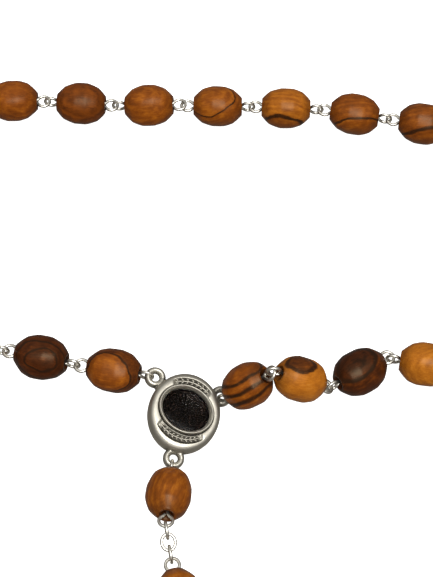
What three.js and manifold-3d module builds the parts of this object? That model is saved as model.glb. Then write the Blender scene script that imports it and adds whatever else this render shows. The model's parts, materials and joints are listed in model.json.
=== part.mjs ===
// A five-decade rosary of turned wooden beads on silver eye pins, laid out flat on a table.
// Units are millimetres and +Z is up. The origin is the middle of the underside of the whole layout.
// Every bead turns on a wire pin whose two ends are bent into eyes, and each eye holds the next one.
// Places in the layout are measured from a point on the table beside the centrepiece's middle.
import * as THREE from "three";
import { mergeVertices } from "three/addons/utils/BufferGeometryUtils.js";
import Module from "manifold-3d";

const wasm = await Module();
wasm.setup();

// Bead: a barrel, turned round its own x axis, with a countersunk bore.
const BEAD_LENGTH = 7.6;
const BEAD_RADIUS = 3.2;
const RIM_RADIUS = 1.5;
const MOUTH_RADIUS = 1.3;
const BORE_RADIUS = 0.6;
const MOUTH_DEPTH = 0.9;
const BEAD_BELLY = 0.9; // half the length of the widest part
const SHOULDER_PLACE = 2.6;
const SHOULDER_RADIUS = 2.6;
const BEAD_SIDES = 9;

// The same bead with fewer faces, for joined runs.
const RUN_SHOULDER_PLACE = 2.1;
const RUN_SHOULDER_RADIUS = 2.8;
const RUN_BEAD_SIDES = 7;
const RUN_WIRE_PLACE = 3.5; // bead centre to where the wire between two beads ends inside it

// Eye pin: a wire through the bead with a ring at each end.
const WIRE_RADIUS = 0.24;
const EYE_RADIUS = 0.95; // to the middle of the wire
const EYE_PLACE = 4.75; // bead centre to eye centre
const SHAFT_HALF = 3.85;
const EYE_SPAN = 2 * EYE_PLACE;
const SNUG = 0.25; // how far a hooked wire lies past the middle of the eye that holds it

// Short chain on each side of a spacer bead.
const LINK_RADIUS = 1.05;
const LINK_WIRE = 0.2;
const LINKS_IN_CHAIN = 3;
const LINK_SLACK = 0.4;
const SPACER = 0; // stands for a spacer bead with its chains in a list of run lengths

// Centrepiece, in its own frame: x to its right, y to its top, z out of its face.
const MEDAL_HALF_WIDTH = 5.15;
const MEDAL_HALF_HEIGHT = 5.85;
const MEDAL_THICKNESS = 3.0;
const MEDAL_SIDES = 20;
const MEDAL_FLANK = 0.9; // half the height of the steep part of its side
const MEDAL_TURN = -12; // degrees about its face normal
const MEDAL_LEAN = new THREE.Vector3(0.2, -0.17, 0.965).normalize(); // its face normal
const MEDAL_PLACE = new THREE.Vector3(0.37, 0, 3.1); // the middle of its body
const BEZEL_HALF_WIDTH = 3.95;
const BEZEL_HALF_HEIGHT = 3.5;
const BEZEL_HEIGHT = 3.6;
const BEZEL_SHIFT = new THREE.Vector3(0.04, 0.25, 0);
const POCKET_WALL = 0.6;
const POCKET_FLOOR = 1.2;
const EARTH_THICKNESS = 0.7;
const LENS_THICKNESS = 0.6;
const SEAT_GAP = 0.3;
const LUG_RADIUS = 1.0;
const LUG_WIRE = 0.32;
const LUG_NECK = 1.0;

// Places of the three lugs over the table, where the strands hook on.
const LUGS = {
  left: new THREE.Vector3(-3.7, 4.98, 4.6),
  right: new THREE.Vector3(5.6, 3.0, 2.6),
  bottom: new THREE.Vector3(-1.0, -6.4, 2.1),
};

// Cross at the end of the drop.
const CROSS_LENGTH = 26;
const CROSS_SPAN = 16;
const CROSS_ARM = 4.2;
const CROSS_THICKNESS = 3.2;
const CROSS_BAR_PLACE = 8.4; // top end to the middle of the bar
const CROSS_EDGE = 0.4;
const CROSS_HOLE_RADIUS = 0.6;
const CROSS_HOLE_DEPTH = 5;
const SCREW_LENGTH = 4.6;

const UPRIGHT = new THREE.Vector3(0, 0, 1);

const wood = new THREE.MeshStandardMaterial({ color: 0x9c5f24, roughness: 0.45, metalness: 0 });
const silver = new THREE.MeshStandardMaterial({ color: 0xc9c4b8, roughness: 0.3, metalness: 1 });
const pewter = new THREE.MeshStandardMaterial({ color: 0x9a968c, roughness: 0.45, metalness: 1 });
const earth = new THREE.MeshStandardMaterial({ color: 0x2a1a12, roughness: 0.9, metalness: 0 });
const clear = new THREE.MeshStandardMaterial({
  color: 0xffffff,
  roughness: 0.05,
  metalness: 0,
  transparent: true,
  opacity: 0.35,
});

// ---------------------------------------------------------------- solids

function solidOf(geometry, matrix = new THREE.Matrix4()) {
  const bare = geometry.clone().applyMatrix4(matrix);
  bare.deleteAttribute("normal");
  bare.deleteAttribute("uv");
  const merged = mergeVertices(bare, 1e-4);
  return new wasm.Manifold(
    new wasm.Mesh({
      numProp: 3,
      vertProperties: merged.attributes.position.array,
      triVerts: new Uint32Array(merged.index.array),
    }),
  );
}

function geometryOf(solid) {
  const mesh = solid.getMesh();
  const geometry = new THREE.BufferGeometry();
  geometry.setAttribute("position", new THREE.BufferAttribute(mesh.vertProperties, 3));
  geometry.setIndex(new THREE.BufferAttribute(mesh.triVerts, 1));
  geometry.computeVertexNormals();
  return geometry;
}

function union(solids) {
  return solids.reduce((whole, piece) => whole.add(piece));
}

function namedMesh(name, geometry, material, matrix = new THREE.Matrix4()) {
  const mesh = new THREE.Mesh(geometry, material);
  mesh.name = name;
  mesh.applyMatrix4(matrix);
  return mesh;
}

function shifted(x, y = 0, z = 0) {
  return new THREE.Matrix4().makeTranslation(x, y, z);
}

function radians(degrees) {
  return THREE.MathUtils.degToRad(degrees);
}

// A lathe turned round x instead of y. The profile lists [radius, place along x].
function turned(profile, sides) {
  const points = profile.map(([radius, along]) => new THREE.Vector2(radius, along));
  return new THREE.LatheGeometry(points, sides).rotateZ(-Math.PI / 2);
}

function rod(radius, length, sides) {
  return new THREE.CylinderGeometry(radius, radius, length, sides).rotateZ(-Math.PI / 2);
}

// A ring lies flat in the xy plane, or stands in the xz plane.
function ring(radius, wire, standing, around = 10, section = 4) {
  const geometry = new THREE.TorusGeometry(radius, wire, section, around);
  return standing ? geometry.rotateX(Math.PI / 2) : geometry;
}

// ---------------------------------------------------------------- beads and pins

function boredBead() {
  const half = BEAD_LENGTH / 2;
  const bore = half - MOUTH_DEPTH;
  return turned(
    [
      [BORE_RADIUS, -bore],
      [MOUTH_RADIUS, -half],
      [RIM_RADIUS, -half],
      [SHOULDER_RADIUS, -SHOULDER_PLACE],
      [BEAD_RADIUS, -BEAD_BELLY],
      [BEAD_RADIUS, BEAD_BELLY],
      [SHOULDER_RADIUS, SHOULDER_PLACE],
      [RIM_RADIUS, half],
      [MOUTH_RADIUS, half],
      [BORE_RADIUS, bore],
      [BORE_RADIUS, -bore],
    ],
    BEAD_SIDES,
  );
}

function plainBead() {
  const half = BEAD_LENGTH / 2;
  return turned(
    [
      [0, -half],
      [RIM_RADIUS, -half],
      [RUN_SHOULDER_RADIUS, -RUN_SHOULDER_PLACE],
      [BEAD_RADIUS, 0],
      [RUN_SHOULDER_RADIUS, RUN_SHOULDER_PLACE],
      [RIM_RADIUS, half],
      [0, half],
    ],
    RUN_BEAD_SIDES,
  );
}

// nearStanding says which way the eye that hooks the previous piece is turned.
function pinSolid(nearStanding, farStanding) {
  return union([
    solidOf(rod(WIRE_RADIUS, 2 * SHAFT_HALF, 4)),
    solidOf(ring(EYE_RADIUS, WIRE_RADIUS, nearStanding), shifted(-EYE_PLACE)),
    solidOf(ring(EYE_RADIUS, WIRE_RADIUS, farStanding), shifted(EYE_PLACE)),
  ]);
}

// ---------------------------------------------------------------- the strand as a chain of links

function direction(yaw, pitch) {
  const flat = Math.cos(radians(pitch));
  return new THREE.Vector3(
    flat * Math.cos(radians(yaw)),
    flat * Math.sin(radians(yaw)),
    Math.sin(radians(pitch)),
  );
}

// A link's frame: x along it, y to its left, z away from the table.
function frameAt(place, yaw, pitch) {
  const x = direction(yaw, pitch);
  const y = new THREE.Vector3(-Math.sin(radians(yaw)), Math.cos(radians(yaw)), 0);
  const z = new THREE.Vector3().crossVectors(x, y);
  return new THREE.Matrix4().makeBasis(x, y, z).setPosition(place);
}

// One step of the chain: the new link hooks the far eye of the previous one.
// previous holds { far, yaw, pitch }; the hooked wire crosses that eye at the hook point.
function follow(previous, link) {
  const { yaw, pitch = 0, slack = SNUG, eye = EYE_RADIUS, span = EYE_SPAN } = link;
  const hook = previous.far.clone().addScaledVector(direction(previous.yaw, previous.pitch), slack);
  const near = hook.clone().addScaledVector(direction(yaw, previous.pitch), eye);
  const along = direction(yaw, pitch);
  const centre = near.clone().addScaledVector(along, span / 2);
  const far = near.clone().addScaledVector(along, span);
  return { hook, near, centre, far, yaw, pitch, frame: frameAt(centre, yaw, pitch) };
}

function chainLink(previous, yaw, pitch = 0, slack = LINK_SLACK) {
  return follow(previous, { yaw, pitch, slack, eye: LINK_RADIUS, span: 0 });
}

// ---------------------------------------------------------------- joined runs

function runEye(link, place, standing, radius = EYE_RADIUS, wire = WIRE_RADIUS) {
  return solidOf(ring(radius, wire, standing, 8, 3), frameAt(place, link.yaw, link.pitch));
}

function strut(from, to, radius = WIRE_RADIUS) {
  const along = new THREE.Vector3().subVectors(to, from);
  const middle = new THREE.Vector3().addVectors(from, to).multiplyScalar(0.5);
  const turn = new THREE.Quaternion().setFromUnitVectors(
    new THREE.Vector3(1, 0, 0),
    along.clone().normalize(),
  );
  const matrix = new THREE.Matrix4().compose(middle, turn, new THREE.Vector3(1, 1, 1));
  return solidOf(rod(radius, along.length(), 3), matrix);
}

// The end of the wire between two beads, on the side of sign.
function wireEnd(link, sign) {
  const reach = sign * RUN_WIRE_PLACE;
  return link.centre.clone().addScaledVector(direction(link.yaw, link.pitch), reach);
}

// Beads that follow each other without a joint: beads, the wires between them, and the two end eyes.
function plainRun(links) {
  const first = links[0];
  const last = links[links.length - 1];
  const pieces = [runEye(first, first.near, true)];
  links.forEach((link, index) => {
    pieces.push(solidOf(plainBead(), link.frame));
    if (index > 0) pieces.push(strut(wireEnd(links[index - 1], 1), wireEnd(link, -1)));
  });
  pieces.push(runEye(last, last.far, false));
  return union(pieces);
}

// A spacer bead with its short chains, joined into one piece. Eyes and links stand and lie in turn.
function spacerRun(before, bead, after) {
  const pieces = [solidOf(plainBead(), bead.frame)];
  pieces.push(runEye(bead, bead.far, true));
  before.forEach((link, index) => {
    pieces.push(runEye(link, link.centre, index % 2 === 0, LINK_RADIUS, LINK_WIRE));
  });
  after.forEach((link, index) => {
    pieces.push(runEye(link, link.centre, index % 2 === 1, LINK_RADIUS, LINK_WIRE));
  });
  const inward = direction(bead.yaw, 0).multiplyScalar(LINK_RADIUS);
  pieces.push(strut(before[0].centre.clone().add(inward), wireEnd(bead, -1)));
  if (after.length) {
    const last = after[after.length - 1].centre;
    pieces.push(strut(wireEnd(bead, 1), last.clone().sub(inward)));
  }
  return union(pieces);
}

function chainAfter(previous, yaw) {
  const links = [];
  let last = previous;
  for (let count = 0; count < LINKS_IN_CHAIN; count += 1) {
    last = chainLink(last, yaw);
    links.push(last);
  }
  return links;
}

// ---------------------------------------------------------------- centrepiece

// A frame whose z is the medal's face normal.
function leaning(place) {
  const lean = new THREE.Quaternion().setFromUnitVectors(UPRIGHT, MEDAL_LEAN);
  return new THREE.Matrix4().makeRotationFromQuaternion(lean).setPosition(place);
}

const medalFrame = new THREE.Matrix4().multiplyMatrices(
  leaning(MEDAL_PLACE),
  new THREE.Matrix4().makeRotationZ(radians(MEDAL_TURN)),
);
const bezelFrame = new THREE.Matrix4().multiplyMatrices(
  medalFrame,
  new THREE.Matrix4().setPosition(BEZEL_SHIFT),
);

// An upright oval: a lathe about z whose profile holds [share of the half widths, height].
function oval(profile, halfWidth, halfHeight, sides) {
  const points = profile.map(([share, height]) => new THREE.Vector2(share, height));
  return new THREE.LatheGeometry(points, sides)
    .rotateX(Math.PI / 2)
    .scale(halfWidth, halfHeight, 1);
}

// The medal's body: a thick coin with a steep side and a rounded shoulder.
function medalCoin() {
  const half = MEDAL_THICKNESS / 2;
  return oval(
    [
      [0, -half],
      [0.86, -half],
      [0.97, -MEDAL_FLANK],
      [1, 0],
      [0.97, MEDAL_FLANK],
      [0.86, half],
      [0, half],
    ],
    MEDAL_HALF_WIDTH,
    MEDAL_HALF_HEIGHT,
    MEDAL_SIDES,
  );
}

function bezelRim() {
  const top = BEZEL_HEIGHT - MEDAL_THICKNESS / 2;
  return oval(
    [
      [0, 0],
      [1, 0],
      [1, top - 0.4],
      [0.94, top],
      [0, top],
    ],
    BEZEL_HALF_WIDTH,
    BEZEL_HALF_HEIGHT,
    MEDAL_SIDES,
  );
}

// A ring at the medal's edge with a short neck that runs into the body.
function lugSolids(lug) {
  const inward = new THREE.Vector3().subVectors(MEDAL_PLACE, lug).normalize();
  const neckStart = lug.clone().addScaledVector(inward, LUG_RADIUS);
  const neckEnd = lug.clone().addScaledVector(inward, LUG_RADIUS + LUG_NECK);
  return [
    solidOf(ring(LUG_RADIUS, LUG_WIRE, false, 12, 6), leaning(lug)),
    strut(neckStart, neckEnd, LUG_WIRE * 1.5),
  ];
}

// The hole inside a lug's ring, which also clears the edge of the body beside it.
function lugHole(lug) {
  const radius = LUG_RADIUS - LUG_WIRE;
  const hole = new THREE.CylinderGeometry(radius, radius, 2 * MEDAL_THICKNESS, 10);
  return solidOf(hole.rotateX(Math.PI / 2), leaning(lug));
}

function medalFrameSolid() {
  const places = Object.values(LUGS);
  const pocket = bezelDisc(-POCKET_WALL, POCKET_FLOOR - MEDAL_THICKNESS / 2, BEZEL_HEIGHT);
  const body = union([
    solidOf(medalCoin(), medalFrame),
    solidOf(bezelRim(), bezelFrame),
    ...places.flatMap(lugSolids),
  ]);
  return body.subtract(union([solidOf(pocket, bezelFrame), ...places.map(lugHole)]));
}

// A flat disc with the bezel's outline, grown by margin, between two heights.
function bezelDisc(margin, low, high) {
  return oval(
    [
      [0, low],
      [1, low],
      [1, high],
      [0, high],
    ],
    BEZEL_HALF_WIDTH + margin,
    BEZEL_HALF_HEIGHT + margin,
    MEDAL_SIDES,
  );
}

function lensDome(margin, low, thickness) {
  return oval(
    [
      [0, low],
      [1, low],
      [0.98, low + 0.3],
      [0.6, low + 0.85 * thickness],
      [0, low + thickness],
    ],
    BEZEL_HALF_WIDTH + margin,
    BEZEL_HALF_HEIGHT + margin,
    MEDAL_SIDES,
  );
}

// ---------------------------------------------------------------- cross

function crossSolid() {
  const half = CROSS_ARM / 2;
  const outline = new THREE.Shape();
  const corners = [
    [0, half],
    [CROSS_BAR_PLACE - half, half],
    [CROSS_BAR_PLACE - half, CROSS_SPAN / 2],
    [CROSS_BAR_PLACE + half, CROSS_SPAN / 2],
    [CROSS_BAR_PLACE + half, half],
    [CROSS_LENGTH, half],
  ];
  const mirrored = corners.map(([x, y]) => [x, -y]).reverse();
  [...corners, ...mirrored].forEach(([x, y], index) =>
    index ? outline.lineTo(x, y) : outline.moveTo(x, y),
  );
  outline.closePath();
  const slab = new THREE.ExtrudeGeometry(outline, {
    depth: CROSS_THICKNESS - 2 * CROSS_EDGE,
    bevelThickness: CROSS_EDGE,
    bevelSize: CROSS_EDGE,
    bevelOffset: -CROSS_EDGE,
    bevelSegments: 1,
  }).translate(0, 0, CROSS_EDGE);
  const hole = rod(CROSS_HOLE_RADIUS, 2 * CROSS_HOLE_DEPTH, 8);
  return solidOf(slab).subtract(solidOf(hole, shifted(0, 0, CROSS_THICKNESS / 2)));
}

function crossEyeSolid() {
  const shank = rod(WIRE_RADIUS, SCREW_LENGTH, 6);
  const eye = ring(EYE_RADIUS, WIRE_RADIUS, false);
  return union([solidOf(shank, shifted(EYE_RADIUS + SCREW_LENGTH / 2)), solidOf(eye)]);
}

// ---------------------------------------------------------------- layout

const meshes = [];

function addBody(name, geometry, material, matrix, joint) {
  const mesh = namedMesh(name, geometry, material, matrix);
  mesh.userData.joint = joint;
  meshes.push(mesh);
}

function sideways(yaw) {
  return new THREE.Vector3(-Math.sin(radians(yaw)), Math.cos(radians(yaw)), 0);
}

// A bead that turns on its own pin.
function addBeadAndPin(prefix, number, link, nearStanding = true, farStanding = false) {
  const tail = String(number).padStart(2, "0");
  const swing = { place: link.hook, axis: nearStanding ? UPRIGHT : sideways(link.yaw) };
  const spin = { place: link.centre, axis: direction(link.yaw, link.pitch) };
  const pin = geometryOf(pinSolid(nearStanding, farStanding));
  addBody(`${prefix}_pin_${tail}`, pin, silver, link.frame, swing);
  addBody(`${prefix}_bead_${tail}`, boredBead(), wood, link.frame, spin);
}

// Headings along the unseen part of a strand: straight, an even turn, and straight again.
function farYaw(number, bend) {
  const share = THREE.MathUtils.clamp((number - bend.start) / (bend.end - bend.start), 0, 1);
  return bend.from + (bend.to - bend.from) * share;
}

// A strand from its lug round to the middle of the far side. Numbers count beads from the lug.
function addStrand(prefix, plan) {
  let last = plan.start;
  let number = 0;
  plan.firstBeads.forEach(([yaw, pitch, slack]) => {
    number += 1;
    last = follow(last, { yaw, pitch, slack });
    addBeadAndPin(prefix, number, last);
  });
  plan.runs.forEach((count) => {
    const from = number + 1;
    const links = [];
    if (count === SPACER) {
      number += 1;
      const yaw = farYaw(number, plan.bend);
      const before = chainAfter(last, yaw);
      const bead = follow(before[before.length - 1], { yaw, slack: LINK_SLACK });
      const after = chainAfter(bead, yaw);
      addJoined(`${prefix}_spacer_${number}`, spacerRun(before, bead, after), before[0]);
      last = after[after.length - 1];
      return;
    }
    for (let step = 0; step < count; step += 1) {
      number += 1;
      last = follow(last, { yaw: farYaw(number, plan.bend) });
      links.push(last);
    }
    const tail = `${String(from).padStart(2, "0")}_${String(number).padStart(2, "0")}`;
    addJoined(`${prefix}_run_${tail}`, plainRun(links), links[0]);
  });
  plan.lastBeads.forEach(([yaw, pitch, slack]) => {
    number += 1;
    last = follow(last, { yaw, pitch, slack });
    addBeadAndPin(prefix, number, last);
  });
}

function addJoined(name, solid, first) {
  addBody(name, geometryOf(solid), wood, new THREE.Matrix4(), { place: first.hook, axis: UPRIGHT });
}

function startAt(lug, yaw) {
  return { far: lug, yaw, pitch: 0 };
}

// Each bead is [heading, pitch, slack] in degrees, degrees and millimetres.
const RIGHT_PLAN = {
  start: startAt(LUGS.right, 34),
  firstBeads: [
    [1.8, 49.1, -0.38],
    [3.8, -36.13, -0.28],
    [31.5, -4.2, 0.3],
    [-10.9, 0.08, -0.05],
  ],
  runs: [3, 3, SPACER, 3, 2, 2, 3, SPACER, 1],
  bend: { from: 4.72, to: 181.72, start: 11.5, end: 17 },
  lastBeads: [
    [171, 0, 0.3],
    [170, 0, 0.35],
    [177, 0, 0.35],
    [179, 0, 0.25],
  ],
};

const LEFT_PLAN = {
  start: startAt(LUGS.left, 151),
  firstBeads: [
    [168.3, -4.08, 0.38],
    [165.6, -3.37, 0.38],
  ],
  runs: [3, 3, 2, SPACER, 3, 2, 2, 3, SPACER, 2],
  bend: { from: 173.66, to: -1.54, start: 11.5, end: 16.5 },
  lastBeads: [
    [-1, 0, 0.25],
    [-4, 0, 0.25],
    [-2, 4, 0.25],
  ],
};

function addCentrepiece() {
  const half = MEDAL_THICKNESS / 2;
  const seat = -POCKET_WALL - SEAT_GAP;
  const floor = POCKET_FLOOR - half + SEAT_GAP;
  const lensLow = floor + EARTH_THICKNESS + SEAT_GAP;
  addBody("center_frame", geometryOf(medalFrameSolid()), pewter, new THREE.Matrix4(), null);
  const earthDisc = bezelDisc(seat, floor, floor + EARTH_THICKNESS);
  addBody("center_earth", earthDisc, earth, bezelFrame, null);
  addBody("center_lens", lensDome(seat, lensLow, LENS_THICKNESS), clear, bezelFrame, null);
}

// The drop below the centrepiece: a bead, three links, three beads, a spacer bead and the cross.
const DROP_PLAN = {
  start: startAt(LUGS.bottom, -110),
  first: { yaw: -94, pitch: 17, slack: 0.43 },
  links: [
    [-80, -24],
    [-79.5, -25],
    [-79.5, -26],
  ],
  linkSlack: 0.58,
  second: { yaw: -78, pitch: 1, slack: 0.5 },
  loneHeadings: [-66, -62],
  spacerHeading: -70,
  cross: { yaw: -78, pitch: -3, span: 0 },
};

function addDropLink(link, number, standing) {
  const geometry = geometryOf(solidOf(ring(LINK_RADIUS, LINK_WIRE, standing)));
  const axis = standing ? UPRIGHT : sideways(link.yaw);
  addBody(`drop_link_${number}`, geometry, silver, link.frame, { place: link.hook, axis });
}

function addDrop(plan) {
  let last = follow(plan.start, plan.first);
  addBeadAndPin("drop", 1, last);
  plan.links.forEach(([yaw, pitch], index) => {
    last = chainLink(last, yaw, pitch, plan.linkSlack);
    addDropLink(last, index + 1, index % 2 === 0);
  });
  last = follow(last, plan.second);
  addBeadAndPin("drop", 2, last, false, false);
  plan.loneHeadings.forEach((yaw, index) => {
    last = follow(last, { yaw });
    addJoined(`drop_bead_${String(index + 3).padStart(2, "0")}`, plainRun([last]), last);
  });
  const yaw = plan.spacerHeading;
  const before = chainAfter(last, yaw);
  last = follow(before[before.length - 1], { yaw, slack: LINK_SLACK });
  addJoined("drop_spacer_05", spacerRun(before, last, []), before[0]);
  addCross(last, plan.cross);
}

function addCross(previous, plan) {
  const eye = follow(previous, plan);
  const toWood = shifted(EYE_RADIUS + 1, 0, -CROSS_THICKNESS / 2);
  const joint = { place: eye.hook, axis: sideways(plan.yaw) };
  const crossFrame = new THREE.Matrix4().multiplyMatrices(eye.frame, toWood);
  addBody("cross_eye", geometryOf(crossEyeSolid()), silver, eye.frame, joint);
  addBody("cross", geometryOf(crossSolid()), wood, crossFrame, null);
}

addCentrepiece();
addStrand("right", RIGHT_PLAN);
addStrand("left", LEFT_PLAN);
addDrop(DROP_PLAN);

const rosary = new THREE.Group();
rosary.name = "rosary";
rosary.add(...meshes);
rosary.updateMatrixWorld(true);
const extent = new THREE.Box3();
meshes.forEach((mesh) => extent.union(new THREE.Box3().setFromObject(mesh, true)));
const middle = extent.getCenter(new THREE.Vector3());
const origin = new THREE.Vector3(middle.x, middle.y, extent.min.z);
meshes.forEach((mesh) => mesh.position.sub(origin));
rosary.userData.origin = origin;

export default rosary;
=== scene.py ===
"""The looks of a rosary: turned olive-wood beads on bent silver pins, a cast medal and a wooden cross.

The strand is laid out again here with the same steps as the CAD part, in millimetres, so that every bead
and eye lies where its CAD solid lies. Each new piece then rides on the CAD body of the same name.
"""

import itertools
import json
import math

import bmesh
import bpy
import numpy as np
from mathutils import Matrix, Vector, noise


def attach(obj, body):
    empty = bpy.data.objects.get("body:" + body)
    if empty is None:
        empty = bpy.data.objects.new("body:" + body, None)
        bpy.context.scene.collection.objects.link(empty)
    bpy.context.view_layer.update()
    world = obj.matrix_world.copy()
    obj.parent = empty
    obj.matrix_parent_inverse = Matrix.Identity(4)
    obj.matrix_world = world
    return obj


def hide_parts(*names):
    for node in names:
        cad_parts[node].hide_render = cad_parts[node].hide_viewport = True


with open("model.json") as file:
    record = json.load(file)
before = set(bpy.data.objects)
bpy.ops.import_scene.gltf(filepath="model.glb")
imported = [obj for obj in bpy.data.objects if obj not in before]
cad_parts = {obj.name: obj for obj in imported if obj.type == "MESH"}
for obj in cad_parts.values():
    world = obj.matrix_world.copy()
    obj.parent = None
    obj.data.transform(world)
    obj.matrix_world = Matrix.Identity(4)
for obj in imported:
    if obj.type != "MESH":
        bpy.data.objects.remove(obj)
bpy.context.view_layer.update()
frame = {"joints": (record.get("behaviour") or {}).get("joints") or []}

MM = 0.001

# Bead and eye pin, in millimetres. x runs along the bead.
BEAD_HALF = 3.8
BEAD_TIP = 4.15  # where the barrel's curve would close
BEAD_CURVE = 2.15  # 2 would make the barrel an ellipse
BEAD_RADIUS = 3.2
RIM_RADIUS = 1.2  # nearer to the bore than this, the turning is true
MOUTH_RADIUS = 1.04
BORE_RADIUS = 0.6
MOUTH_DEPTH = 0.9
WIRE_RADIUS = 0.24
EYE_RADIUS = 0.95
EYE_PLACE = 4.75
EYE_SPAN = 2 * EYE_PLACE
SNUG = 0.25  # how far a pulled eye sits off the middle of the one it hooks

# Chain link.
LINK_RADIUS = 1.05
LINK_WIRE = 0.23
LINKS_IN_CHAIN = 3
LINK_SLACK = 0.4
RING_LENGTHENED = 1.06
RING_NARROWED = 0.88
RING_STEPS = 28

# Medal, in its own frame: x to its right, y to its top, z out of its face, 0 at mid thickness.
MEDAL_HALF_WIDTH = 5.15
MEDAL_HALF_HEIGHT = 5.85
MEDAL_TURN = -12.0
MEDAL_LEAN = Vector((0.2, -0.17, 0.965)).normalized()
MEDAL_PLACE = Vector((0.37, 0.0, 3.1))
BEZEL_HALF_WIDTH = 4.0
BEZEL_HALF_HEIGHT = 3.42
BEZEL_TURN = -16.0
BEZEL_SHIFT = Vector((0.04, 0.25, 0.0))
LUG_RADIUS = 1.06
LUG_WIRE = 0.48
LUG_DEPTH = 1.5  # how much deeper a lug is than it is wide
LUG_CLEARANCE = 0.66
NECK_SPREAD = 0.62
NECK_ROD = 0.46
LUGS = {
    "left": Vector((-3.7, 4.98, 4.6)),
    "right": Vector((5.6, 3.0, 2.6)),
    "bottom": Vector((-1.0, -6.4, 2.1)),
}

# Cross.
CROSS_LENGTH = 26.0
CROSS_SPAN = 16.0
CROSS_ARM = 4.2
CROSS_THICKNESS = 3.2
CROSS_BAR_PLACE = 8.4
CROSS_EDGE = 0.55
SCREW_STEP = 0.4
SCREW_STEPS = 11

# The viewing direction: from the front, tilted this far from straight above.
VIEW_TILT = 30.0
VIEW_RIGHT = Vector((1, 0, 0))
VIEW_UP = Vector((0, math.cos(math.radians(VIEW_TILT)), math.sin(math.radians(VIEW_TILT))))
VIEW_TOWARDS = Vector((0, -math.sin(math.radians(VIEW_TILT)), math.cos(math.radians(VIEW_TILT))))


# ---------------- the strand as a chain of links


def direction(yaw, pitch=0.0):
    """Unit vector of a heading and a climb, both in degrees."""
    turn = math.radians(yaw)
    climb = math.radians(pitch)
    flat = math.cos(climb)
    return Vector((flat * math.cos(turn), flat * math.sin(turn), math.sin(climb)))


def frame_at(place, yaw, pitch=0.0):
    """A link's matrix: x along it, y to its left, z away from the table."""
    x = direction(yaw, pitch)
    y = direction(yaw + 90.0)
    made = Matrix.Identity(4)
    made.col[0][:3] = x
    made.col[1][:3] = y
    made.col[2][:3] = x.cross(y)
    made.col[3][:3] = place
    return made


class Start:
    """What the first link of a strand hooks on to."""

    def __init__(self, place, yaw):
        self.far = place
        self.yaw = yaw
        self.pitch = 0.0


class Link:
    """One step of the chain: it hooks the far eye of the previous one."""

    def __init__(self, previous, yaw, pitch=0.0, slack=SNUG, eye=EYE_RADIUS, span=EYE_SPAN):
        self.yaw = yaw
        self.pitch = pitch
        self.hook = previous.far + direction(previous.yaw, previous.pitch) * slack
        self.near = self.hook + direction(yaw, previous.pitch) * eye
        self.centre = self.near + direction(yaw, pitch) * (span / 2)
        self.far = self.near + direction(yaw, pitch) * span
        self.matrix = frame_at(self.centre, yaw, pitch)


def chain_link(previous, yaw, pitch=0.0, slack=LINK_SLACK):
    """One ring of a chain, whose near and far eye are the same ring."""
    return Link(previous, yaw, pitch, slack, eye=LINK_RADIUS, span=0.0)


def chain_after(previous, yaw):
    """The rings of a straight chain that hooks the previous link."""
    links = []
    for _ in range(LINKS_IN_CHAIN):
        links.append(chain_link(links[-1] if links else previous, yaw))
    return links


# ---------------- mesh building

# The rounded end of a wire, as shares of its radius: how far it reaches and how thick it ends.
TIP_REACH = 0.5
TIP_SIZE = 0.55


class Shape:
    """Vertices, faces and per-vertex values that grow part by part, in millimetres."""

    def __init__(self):
        self.points = []
        self.faces = []
        self.values = {}
        self.count = 0

    def add(self, points, faces, matrix=None, **values):
        """Adds a part, placed by the matrix. Values are one row of three for each point, or one for all."""
        points = np.asarray(points, float)
        if matrix is not None:
            turn = np.array(matrix.to_3x3())
            points = points @ turn.T + np.array(matrix.translation)
        self.points.append(points)
        self.faces.extend([[corner + self.count for corner in face] for face in faces])
        for name, value in values.items():
            rows = np.broadcast_to(np.asarray(value, float), (len(points), 3))
            self.values.setdefault(name, []).append(rows)
        self.count += len(points)

    def build(self, name, material):
        """A smooth-shaded object in the row frame, in metres."""
        points = (np.concatenate(self.points) - np.array(ORIGIN)) * MM
        mesh = bpy.data.meshes.new(name)
        mesh.from_pydata(points.tolist(), [], self.faces)
        face_outwards(mesh)
        for key, rows in self.values.items():
            keep_values(mesh, key, np.concatenate(rows))
        mesh.polygons.foreach_set("use_smooth", [True] * len(mesh.polygons))
        mesh.update()
        made = bpy.data.objects.new(name, mesh)
        bpy.context.scene.collection.objects.link(made)
        made.data.materials.append(material)
        return made


def keep_values(mesh, name, rows):
    """Writes three values for each vertex, for a material to read."""
    layer = mesh.attributes.new(name, "FLOAT_VECTOR", "POINT")
    layer.data.foreach_set("vector", np.asarray(rows, np.float32).ravel())


def face_outwards(mesh):
    """Turns every face's normal to the outside, which a clear material needs."""
    working = bmesh.new()
    working.from_mesh(mesh)
    bmesh.ops.recalc_face_normals(working, faces=working.faces)
    working.to_mesh(mesh)
    working.free()


def grid_faces(rows, columns, closed_rows=False):
    """Quads over rings of points, each ring holding columns points."""
    faces = []
    for row in range(rows if closed_rows else rows - 1):
        for column in range(columns):
            beside = (column + 1) % columns
            start = row * columns
            following = (row + 1) % rows * columns
            faces.append([start + column, following + column, following + beside, start + beside])
    return faces


def tangents_along(path, closed):
    """The direction of the path at each of its points."""
    count = len(path)
    tangents = []
    for index in range(count):
        before = path[index - 1] if closed or index else path[0]
        after = path[(index + 1) % count] if closed or index < count - 1 else path[-1]
        tangents.append((after - before).normalized())
    return tangents


def angles_round(count):
    """Evenly spaced angles round a full turn."""
    return [2 * math.pi * step / count for step in range(count)]


def end_caps(count, sides):
    """Two faces that close the first and the last ring of count points."""
    return [list(range(sides)), [count - 1 - step for step in range(sides)]]


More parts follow.
